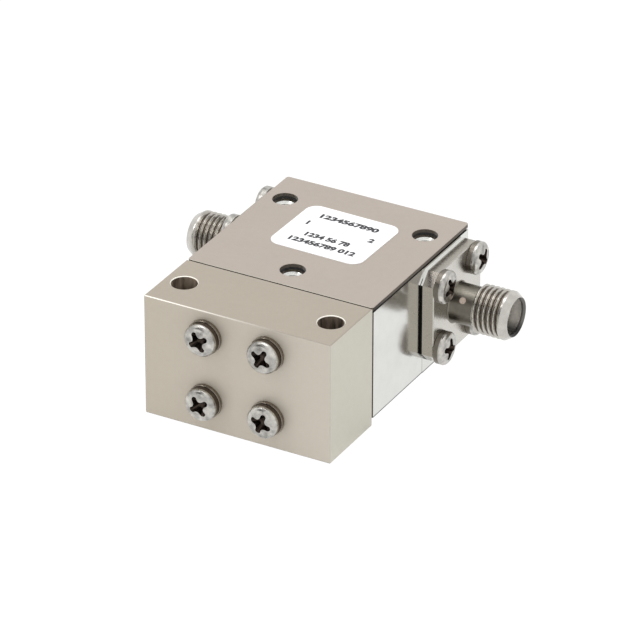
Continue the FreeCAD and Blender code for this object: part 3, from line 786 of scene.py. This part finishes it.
class ISOLATOR_OT_finish_parts(bpy.types.Operator):
    """Give every part of the frame the finish of its material slot"""
    bl_idname = "isolator.finish_parts"
    bl_label = "Finish the parts"

    def execute(self, context):
        finishes.update(make_finishes())
        for part in frame["record"]["subparts"]:
            for slot in frame["nodes"][part["node"]].material_slots:
                slot.material = finishes[part["material_slot"]]
        for slot in frame["nodes"]["cover_plate"].material_slots:
            slot.material = finishes["cover"]
        for mount in frame["record"]["mounts"]:
            if mount["name"] == "block_holes":
                paint_hole("load_block", mount, finishes["drilled"], near=-0.1, far=0.02, walls=True)
                # Painted highlight on the top face in a ring round each hole
                paint_hole("load_block", mount, finishes["hole_rim_highlight"], near=0.02, far=0.1)
            elif "tapped_hole" in mount["name"]:
                paint_hole("housing", mount, finishes["tapped"], near=-0.2, far=0.2)
                # Painted shade on the spot faces' walls
                paint_hole("housing", mount, finishes["spot_wall"], near=0.2, far=0.6, walls=True)
        return {"FINISHED"}


# Jacks

def flange_outline(x, half, corner, inset):
    """The square with cut corners, moved in by an inset."""
    far = half - inset
    near = half - corner - inset * math.tan(math.pi / 8)
    corners = [(far, near), (near, far), (-near, far), (-far, near),
               (-far, -near), (-near, -far), (near, -far), (far, -near)]
    return [(x, y, z) for y, z in corners]


def barrel_radius(sizes, x, turn, nose):
    """Outside radius of the neck, thread and nose at a distance from the flange's back."""
    neck = sizes.neck_diameter / 2
    outside = sizes.thread_diameter / 2
    neck_end = sizes.flange_thickness + sizes.neck_length
    if x <= neck_end:
        return neck
    thread_end = nose - sizes.plain_nose
    fade = ease((thread_end - x) / (sizes.thread_pitch / 2))
    cut = sizes.thread_depth * thread_cut(x, turn, sizes.thread_pitch) * fade
    lead = neck + (outside - neck) * (x - neck_end) / sizes.lead_in
    rim = sizes.nose_diameter / 2
    chamfer = rim + (outside - rim) * (nose - x) / sizes.nose_chamfer
    return min(outside - cut, lead, chamfer)


def flange_rings(shaper, sizes, half):
    """The flange's walls: its back and face, each as an outline and the rings of its screw holes."""
    thick = sizes.flange_thickness
    back = shaper.ring(flange_outline(0, half, sizes.flange_corner, 0))
    edge = shaper.ring(flange_outline(thick - sizes.edge_break, half, sizes.flange_corner, 0))
    face = shaper.ring(flange_outline(thick, half, sizes.flange_corner, sizes.edge_break))
    shaper.skin_all([back, edge, face])
    radius, reach = sizes.screw_hole / 2, sizes.screw_spacing / 2
    count = sizes.segments // 4
    back_holes, face_holes = [], []
    for y, z in ((-reach, -reach), (-reach, reach), (reach, -reach), (reach, reach)):
        back_holes.append(shaper.ring(circle(0, radius, count, y, z)))
        face_holes.append(shaper.ring(circle(thick, radius, count, y, z)))
        shaper.skin(back_holes[-1], face_holes[-1])
    return (back, back_holes), (face, face_holes)


def barrel_rings(shaper, sizes, nose):
    """Rings from the flange's face over the fillet, neck and thread to the nose."""
    fillet = sizes.neck_fillet
    rings = []
    for bend in quarter_turn():
        x = sizes.flange_thickness + fillet * (1 - math.cos(bend))
        radius = sizes.neck_diameter / 2 + fillet * (1 - math.sin(bend))
        rings.append(shaper.ring(circle(x, radius, sizes.segments)))
    neck_end = sizes.flange_thickness + sizes.neck_length
    for x in steps(neck_end, nose, sizes.thread_pitch / JACK_STEPS_PER_PITCH):
        points = [polar(x, barrel_radius(sizes, x, turn, nose), turn) for turn in turns(sizes.segments)]
        rings.append(shaper.ring(points))
    return rings


def bore_rings(shaper, sizes, nose):
    """Rings from the nose through the socket and the insulator's bore to the flange's back."""
    socket, insulator = sizes.socket_diameter / 2, sizes.insulator_bore / 2
    bottom = nose - sizes.socket_depth
    profile = [(nose, socket + sizes.socket_chamfer), (nose - sizes.socket_chamfer, socket),
               (nose - sizes.mouth_shade, socket), (bottom, socket), (bottom, insulator), (0, insulator)]
    return [shaper.ring(circle(x, radius, sizes.segments)) for x, radius in profile]


def between(near, far=math.inf, inner=0.0, outer=math.inf):
    """A test for faces between two places along the X axis and two distances from it."""
    return lambda point, _: near < point.x < far and inner < math.hypot(*point.yz) < outer


def paint_jack(jack, sizes, nose):
    """A finish of its own on the jack's thread roots, neck, nose, socket and the socket's mouth: painted
    shade in the roots, socket and mouth, a painted reflection on the neck and painted light on the nose.
    """
    neck, socket = sizes.neck_diameter / 2, sizes.socket_diameter / 2
    neck_end = sizes.flange_thickness + sizes.neck_length
    thread_start, thread_end = neck_end + sizes.lead_in, nose - sizes.plain_nose
    deep = sizes.thread_diameter / 2 - ROOT_SHARE * sizes.thread_depth
    mouth = socket + MOUTH_SHARE * sizes.socket_chamfer
    paint(jack, finishes["jack_root"], between(thread_start, thread_end, neck, deep))
    paint(jack, finishes["jack_neck"],
          between(sizes.flange_thickness, neck_end, neck * NECK_SHARE, neck + sizes.neck_fillet))
    paint(jack, finishes["jack_nose"], between(thread_end, inner=mouth))
    paint(jack, finishes["jack_bore"], between(nose - sizes.socket_depth * SLACK, outer=socket * SLACK))
    paint(jack, finishes["jack_mouth"], between(nose - sizes.mouth_shade, outer=mouth))


def jack_mesh(sizes, half, nose, side):
    """The one-piece jack along +X from its flange's back: flange, neck, thread, nose and bores."""
    shaper = Shaper()
    (back, back_holes), (face, face_holes) = flange_rings(shaper, sizes, half)
    outside = barrel_rings(shaper, sizes, nose)
    bore = bore_rings(shaper, sizes, nose)
    shaper.skin_all(outside + bore)
    shaper.fill(back, bore[-1], *back_holes)
    shaper.fill(face, outside[0], *face_holes)
    whole = shaper.mesh("jack")
    cutter = plug_cutter(sizes, side)
    for mesh in (whole, cutter):
        mesh.materials.append(finishes["jack_steel"])
    jack = carve(whole, cutter, "jack_hole")
    paint_jack(jack, sizes, nose)
    return jack


def plug_cutter(sizes, side):
    """A pin that cuts the radial hole of the captivation plug."""
    shaper = Shaper()
    radius, reach = sizes.plug_hole / 2, sizes.neck_diameter
    ends = [shaper.ring(circle(x, radius, PLUG_SEGMENTS)) for x in (0, reach)]
    shaper.skin(*ends)
    for end in ends:
        shaper.fill(end)
    way = Vector((0, side * math.cos(sizes.plug_angle), math.sin(sizes.plug_angle)))
    turn = X_AXIS.rotation_difference(way).to_matrix().to_4x4()
    start = Vector((sizes.flange_thickness + sizes.plug_position, 0, 0))
    bmesh.ops.transform(shaper.bm, matrix=Matrix.Translation(start) @ turn, verts=shaper.bm.verts)
    return shaper.mesh("plug_cutter")


class ISOLATOR_OT_jacks(bpy.types.Operator):
    """Make both jacks, with their threads, in place of the plain ones"""
    bl_idname = "isolator.jacks"
    bl_label = "Make the jacks"

    def execute(self, context):
        sizes = context.scene.isolator_jack
        for port, side in (("port_1", -1), ("port_2", 1)):
            low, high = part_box(port + "_shell")
            middle = (low + high) / 2
            half = (high.y - low.y) / 2
            seat = low.x if side > 0 else high.x
            mesh = jack_mesh(sizes, half, high.x - low.x, side)
            turn = Matrix.Rotation(0.0 if side > 0 else math.pi, 4, "Z")
            mesh.transform(Matrix.Translation((seat, middle.y, middle.z)) @ turn)
            place_object(port + "_jack", mesh, node=port + "_shell")
        return {"FINISHED"}


# Screws and washers

def cross_outline(x, reach, width, fillet):
    """One level of the cross recess: four wings with rounded corners between them."""
    shoulder, tip = reach - width * 0.6, width * 0.4
    quarter = [(shoulder, -width), (reach, -tip), (reach, tip), (shoulder, width)]
    inner = width + fillet
    quarter += [(inner - fillet * math.sin(bend), inner - fillet * math.cos(bend))
                for bend in quarter_turn()]
    points = []
    for index in range(4):
        turn = math.pi / 2 * index
        across, up = math.cos(turn), math.sin(turn)
        points += [(x, y * across - z * up, y * up + z * across) for y, z in quarter]
    return points


def recess_cutter(sizes):
    """The tapered cross that is cut from a head's top."""
    top, depth = sizes.head_height, sizes.recess_depth
    clear, point = 0.1 * MM, 0.12 * MM
    shaper = Shaper()
    rings = []
    for x, reach_share, width_share in ((top + clear, 1.0, 1.0), (top - 0.25 * depth, 0.88, 0.9),
                                        (top - depth, 0.38, 0.55)):
        width = sizes.recess_width * width_share
        rings.append(shaper.ring(cross_outline(x, sizes.recess_reach * reach_share, width, width * 1.3)))
    shaper.skin_all(rings)
    shaper.fill(rings[0])
    shaper.fan(rings[-1], (top - depth - point, 0, 0))
    return shaper.mesh("recess_cutter")


def head_profile(sizes):
    """(x, radius) points of a pan head, from its seat up to near its top."""
    radius = sizes.head_diameter / 2
    edge = radius * sizes.shoulder_share
    side, shoulder, top = sizes.head_side, sizes.shoulder_height, sizes.head_height
    rise = top - shoulder
    rim = 0.05 * MM
    bulge = ((side + shoulder) / 2 + rise / 3, (radius * 2 + edge) / 3)
    crown = (top - rise / 4, edge / 2)
    points = [(0, radius - rim), (rim, radius), (side * FLANK_SHARE, radius)]
    points += arc((side, radius), bulge, (shoulder, edge), count=7)
    points += arc((shoulder, edge), crown, (top, 0), count=8)[1:-1]
    return points


def shank_radius(sizes, x, turn, tip):
    """Outside radius of a screw's thread and point, from its tip up to its head at x = 0."""
    outside = sizes.diameter / 2
    fade = ease((-sizes.pitch - x) / sizes.pitch)
    cut = sizes.thread_depth * thread_cut(x, turn, sizes.pitch) * fade
    return min(outside - cut, outside - sizes.point_chamfer + (x - tip))


def screw_mesh(sizes, under_head, flank):
    """A pan-head screw with a thread and a cross recess, its seat at the origin and its head along +X."""
    tip = -under_head
    shaper = Shaper()
    rings = []
    for x in steps(tip, -sizes.pitch, sizes.pitch / SCREW_STEPS_PER_PITCH) + [0.0]:
        points = [polar(x, shank_radius(sizes, x, turn, tip), turn) for turn in turns(SCREW_SEGMENTS)]
        rings.append(shaper.ring(points))
    shaper.skin_all(rings)
    shaper.fill(rings[0])
    head = [shaper.ring(circle(x, radius, HEAD_SEGMENTS)) for x, radius in head_profile(sizes)]
    shaper.fill(head[0], rings[-1])
    shaper.skin_all(head)
    shaper.fan(head[-1], (sizes.head_height, 0, 0))
    whole = shaper.mesh("screw")
    whole.materials.append(finishes["screw_steel"])
    cutter = recess_cutter(sizes)
    cutter.materials.append(finishes["recess"])
    screw = carve(whole, cutter, "screw_recess")
    # Painted shade on the head's side near its seat
    rim = RIM_SHARE * sizes.head_diameter / 2
    paint(screw, flank, between(0, sizes.head_side * FLANK_SHARE, inner=rim))
    return screw


def washer_mesh(sizes, thickness):
    """A split lock washer lying on the plane x = 0, its split towards +Y."""
    inner, outer = sizes.washer_bore / 2, sizes.washer_diameter / 2
    edge = 0.06 * MM
    section = [(0, inner + edge), (0, outer - edge), (edge, outer), (thickness - edge, outer),
               (thickness, outer - edge), (thickness, inner + edge), (thickness - edge, inner), (edge, inner)]
    middle = (inner + outer) / 2
    gap = sizes.washer_gap / 2 / middle
    skew = 0.35 * thickness / middle
    shaper = Shaper()
    rings = []
    for index in range(WASHER_SEGMENTS + 1):
        turn = gap + (2 * math.pi - 2 * gap) * index / WASHER_SEGMENTS
        points = [polar(x, radius, turn + skew * (x / thickness - 0.5)) for x, radius in section]
        rings.append(shaper.ring(points))
    shaper.skin_all(rings)
    shaper.fill(rings[0])
    shaper.fill(rings[-1])
    return shaper.mesh("lock_washer")


def face_matrix(place, outward, turn):
    """Puts a piece made along +X on a face, turned about its own axis."""
    to_face = X_AXIS.rotation_difference(outward).to_matrix().to_4x4()
    return Matrix.Translation(place) @ to_face @ Matrix.Rotation(turn, 4, "X")


def corner_places(middle, across, up):
    """The four corners of a pattern of screws, from its full width and height."""
    return [middle + across * (a / 2) + up * (b / 2) for a, b in ((-1, 1), (1, 1), (-1, -1), (1, -1))]


def gathered(name, mesh, places, outward, degrees):
    """One mesh of several copies, each on its place with its own turn."""
    shaper = Shaper()
    for place, turn in zip(places, degrees):
        shaper.add(mesh, face_matrix(place, outward, math.radians(turn)))
    made = bpy.data.meshes.new(name)
    shaper.bm.to_mesh(made)
    shaper.bm.free()
    for material in mesh.materials:
        made.materials.append(material)
    soften(made)
    return made


def make_block_screws(sizes):
    """The load block's four screws, and the split washers under their heads."""
    low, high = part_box("block_screws")
    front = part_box("load_block")[0].y
    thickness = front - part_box("block_washers")[0].y
    middle = Vector(((low.x + high.x) / 2, front, (low.z + high.z) / 2))
    width, height = high.x - low.x - sizes.head_diameter, high.z - low.z - sizes.head_diameter
    places = corner_places(middle, X_AXIS * width, Z_AXIS * height)
    seats = [place - Y_AXIS * thickness for place in places]
    screw = screw_mesh(sizes, sizes.block_screw_length, finishes["head_flank"])
    mesh = gathered("block_screw_set", screw, seats, -Y_AXIS, degrees=(30, 60, 34, 70))
    place_object("block_screw_set", mesh, node="block_screws")
    washer = washer_mesh(sizes, thickness)
    washer.materials.append(finishes["washer"])
    mesh = gathered("lock_washer_set", washer, places, -Y_AXIS, degrees=(205, 150, 235, 190))
    place_object("lock_washer_set", mesh, node="block_washers")


def make_flange_screws(sizes, port, side, flank, thick):
    """The four screws of one jack's flange."""
    low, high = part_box(port + "_screws")
    shell_low, shell_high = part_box(port + "_shell")
    seat = shell_low.x + thick if side > 0 else shell_high.x - thick
    middle = Vector((seat, (low.y + high.y) / 2, (low.z + high.z) / 2))
    spacing = high.z - low.z - sizes.head_diameter
    places = corner_places(middle, Y_AXIS * spacing, Z_AXIS * spacing)
    screw = screw_mesh(sizes, sizes.flange_screw_length, flank)
    mesh = gathered(port + "_screw_set", screw, places, X_AXIS * side, degrees=(20, 48, 75, 10))
    place_object(port + "_screw_set", mesh, node=port + "_screws")


class ISOLATOR_OT_screws(bpy.types.Operator):
    """Make the pan-head screws and lock washers in place of the plain ones"""
    bl_idname = "isolator.screws"
    bl_label = "Make the screws"

    def execute(self, context):
        sizes = context.scene.isolator_screw
        thick = context.scene.isolator_jack.flange_thickness
        make_block_screws(sizes)
        make_flange_screws(sizes, "port_1", -1, finishes["screw_steel"], thick)
        make_flange_screws(sizes, "port_2", 1, finishes["jack_flank"], thick)
        return {"FINISHED"}


# Label print

def label_rows(sizes):
    """Each printed row as (text, middle x, middle y, width, height), from the label's middle."""
    row, digit = sizes.row_height, sizes.digit_height
    return [("1234567890", 0.17 * MM, 3.47 * MM, 8.3 * MM, row),
            ("1234 56 78", -0.16 * MM, -1.54 * MM, 6.3 * MM, row),
            ("123456789 012", 0.11 * MM, -3.36 * MM, 9.4 * MM, row),
            ("1", -4.49 * MM, 1.17 * MM, digit * 0.3, digit),
            ("2", 4.77 * MM, 0.84 * MM, digit * 0.75, digit)]


def print_mesh(text, size, sizes):
    """Raised print of a text, fitted to a width and height about the origin."""
    curve = bpy.data.curves.new("print", "FONT")
    curve.body = text
    curve.size = sizes.row_height / FIGURE_SHARE
    curve.bevel_depth = sizes.weight
    curve.bevel_resolution = 0
    item = bpy.data.objects.new("print", curve)
    bpy.context.scene.collection.objects.link(item)
    bpy.context.view_layer.update()
    mesh = bpy.data.meshes.new_from_object(item.evaluated_get(bpy.context.evaluated_depsgraph_get()))
    bpy.data.objects.remove(item)
    low = Vector([min(vertex.co[axis] for vertex in mesh.vertices) for axis in range(3)])
    high = Vector([max(vertex.co[axis] for vertex in mesh.vertices) for axis in range(3)])
    middle = (low + high) / 2
    fit = Matrix.Diagonal((size[0] / (high.x - low.x), size[1] / (high.y - low.y),
                           sizes.ink_height / (high.z - low.z), 1))
    mesh.transform(fit @ Matrix.Translation((-middle.x, -middle.y, -low.z)))
    return mesh


class ISOLATOR_OT_label_print(bpy.types.Operator):
    """Print the port numbers and rows of plain figures on the label"""
    bl_idname = "isolator.label_print"
    bl_label = "Print the label"

    def execute(self, context):
        sizes = context.scene.isolator_label
        low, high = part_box("label")
        middle = (low + high) / 2
        on_label = Matrix.Translation((middle.x, middle.y, high.z)) @ Matrix.Rotation(sizes.turn, 4, "Z")
        shaper = Shaper()
        for text, x, y, width, height in label_rows(sizes):
            shaper.add(print_mesh(text, (width, height), sizes), on_label @ Matrix.Translation((x, y, 0)))
        bmesh.ops.remove_doubles(shaper.bm, verts=shaper.bm.verts, dist=WELD)
        ink = context.scene.isolator_finish.ink_colour
        finish = plain("label_ink", ink, tinted(ink, 1.6), roughness=0.5, patch=0.3 * MM, bump=0.0005 * MM)
        place_object("label_print", shaper.mesh("label_print"), finish)
        return {"FINISHED"}


# Studio

def stage_sheet(name, width, height, material):
    """A flat rectangle about the origin that belongs to the stage."""
    shaper = Shaper()
    shaper.fill(shaper.ring([(-width / 2, -height / 2, 0), (width / 2, -height / 2, 0),
                             (width / 2, height / 2, 0), (-width / 2, height / 2, 0)]))
    mesh = shaper.mesh(name, closed=False)
    mesh.materials.append(material)
    sheet = bpy.data.objects.new(name, mesh)
    bpy.context.scene.collection.objects.link(sheet)
    return sheet


def point_at(item, place, aim):
    """Puts a card or lamp at a place, turned to another."""
    item.location = place
    item.rotation_euler = (Vector(place) - Vector(aim)).to_track_quat("Z", "Y").to_euler()


def dark_flag(level):
    """A dull dark card beside the object, which only shiny metal sees."""
    finish = Finish("dark_flag")
    finish.colours(finish.noise(0.1), (level,) * 3, (level * 1.1,) * 3)
    finish.surface.inputs["Roughness"].default_value = 0.9
    card = stage_sheet("dark_flag", width=0.064, height=0.16, material=finish.material)
    point_at(card, place=(-0.043, -0.115, 0.083), aim=(0.02, 0, 0.009))
    card.visible_camera = False
    card.visible_diffuse = False
    card.visible_shadow = False


def floor_material():
    """A floor that glows white where it is seen or mirrored, and keeps a faint shadow of the object."""
    material = bpy.data.materials.new("studio_floor")
    material.use_nodes = True
    tree = material.node_tree
    tree.nodes.clear()
    path = tree.nodes.new("ShaderNodeLightPath")
    seen = combined(tree, "ADD", path.outputs["Is Camera Ray"], path.outputs["Is Glossy Ray"])
    seen = combined(tree, "ADD", seen, path.outputs["Is Transmission Ray"], clamp=True)
    diffuse = tree.nodes.new("ShaderNodeBsdfDiffuse")
    diffuse.inputs["Color"].default_value = FLOOR_COLOUR
    glow = tree.nodes.new("ShaderNodeEmission")
    glow.inputs["Strength"].default_value = GLOW_STRENGTH
    mix = tree.nodes.new("ShaderNodeMixShader")
    tree.links.new(combined(tree, "MULTIPLY", seen, FLOOR_GLOW), mix.inputs["Fac"])
    tree.links.new(diffuse.outputs[0], mix.inputs[1])
    tree.links.new(glow.outputs[0], mix.inputs[2])
    output = tree.nodes.new("ShaderNodeOutputMaterial")
    tree.links.new(mix.outputs[0], output.inputs["Surface"])
    return material


def area_light(name, place, size, power):
    """A soft square lamp that points at the object."""
    data = bpy.data.lights.new(name, "AREA")
    data.size = size
    data.energy = power
    lamp = bpy.data.objects.new(name, data)
    bpy.context.scene.collection.objects.link(lamp)
    point_at(lamp, place, AIM)
    lamp.visible_camera = False


def make_camera(studio):
    """The camera, on its line to the point that it looks at."""
    data = bpy.data.cameras.new("camera")
    data.lens = studio.lens
    data.sensor_width = SENSOR_WIDTH
    data.clip_start = studio.distance * CLIP_NEAR
    data.clip_end = studio.distance * CLIP_FAR
    camera = bpy.data.objects.new("camera", data)
    bpy.context.scene.collection.objects.link(camera)
    level = math.cos(studio.elevation)
    back = Vector((math.sin(studio.azimuth) * level, -math.cos(studio.azimuth) * level,
                   math.sin(studio.elevation)))
    roll = Matrix.Rotation(studio.roll, 3, "Z").to_quaternion()
    camera.location = AIM + back * studio.distance
    camera.rotation_mode = "QUATERNION"
    camera.rotation_quaternion = (-back).to_track_quat("-Z", "Y") @ roll
    bpy.context.scene.camera = camera


class ISOLATOR_OT_stage(bpy.types.Operator):
    """Set up the white floor, the soft light and the camera"""
    bl_idname = "isolator.stage"
    bl_label = "Set the stage"

    def execute(self, context):
        studio = context.scene.isolator_studio
        floor = stage_sheet("studio_floor", 2 * FLOOR_REACH, 2 * FLOOR_REACH, floor_material())
        floor.location.z = cad_low.z
        world = bpy.data.worlds.new("studio")
        world.use_nodes = True
        sky = world.node_tree.nodes["Background"]
        sky.inputs["Color"].default_value = (1, 1, 1, 1)
        sky.inputs["Strength"].default_value = studio.sky_strength
        context.scene.world = world
        context.scene.view_settings.view_transform = "Standard"
        dark_flag(studio.card_level)
        for lamp in LAMPS:
            area_light(*lamp)
        make_camera(studio)
        return {"FINISHED"}


class ISOLATOR_PT_looks(bpy.types.Panel):
    """The steps that dress the isolator, with their settings"""
    bl_idname = "ISOLATOR_PT_looks"
    bl_label = "Coaxial isolator"
    bl_space_type = "VIEW_3D"
    bl_region_type = "UI"
    bl_category = "Isolator"

    def draw(self, context):
        for operator, settings in STEPS:
            self.layout.operator(operator.bl_idname)
            group = getattr(context.scene, settings)
            for name in group.bl_rna.properties.keys():
                if name not in ("rna_type", "name"):
                    self.layout.prop(group, name)


STEPS = [(ISOLATOR_OT_finish_parts, "isolator_finish"), (ISOLATOR_OT_jacks, "isolator_jack"),
         (ISOLATOR_OT_screws, "isolator_screw"), (ISOLATOR_OT_label_print, "isolator_label"),
         (ISOLATOR_OT_stage, "isolator_studio")]
GROUPS = {"isolator_finish": FinishSettings, "isolator_jack": JackSettings, "isolator_screw": ScrewSettings,
          "isolator_label": LabelSettings, "isolator_studio": StudioSettings}


def register():
    for name, group in GROUPS.items():
        bpy.utils.register_class(group)
        setattr(bpy.types.Scene, name, PointerProperty(type=group))
    for operator, _ in STEPS:
        bpy.utils.register_class(operator)
    bpy.utils.register_class(ISOLATOR_PT_looks)


def unregister():
    bpy.utils.unregister_class(ISOLATOR_PT_looks)
    for operator, _ in reversed(STEPS):
        bpy.utils.unregister_class(operator)
    for name, group in GROUPS.items():
        delattr(bpy.types.Scene, name)
        bpy.utils.unregister_class(group)


def main():
    """Dress the isolator."""
    register()
    bpy.ops.isolator.finish_parts()
    bpy.ops.isolator.jacks()
    bpy.ops.isolator.screws()
    bpy.ops.isolator.label_print()
    bpy.ops.isolator.stage()


if __name__ == "__main__":
    main()
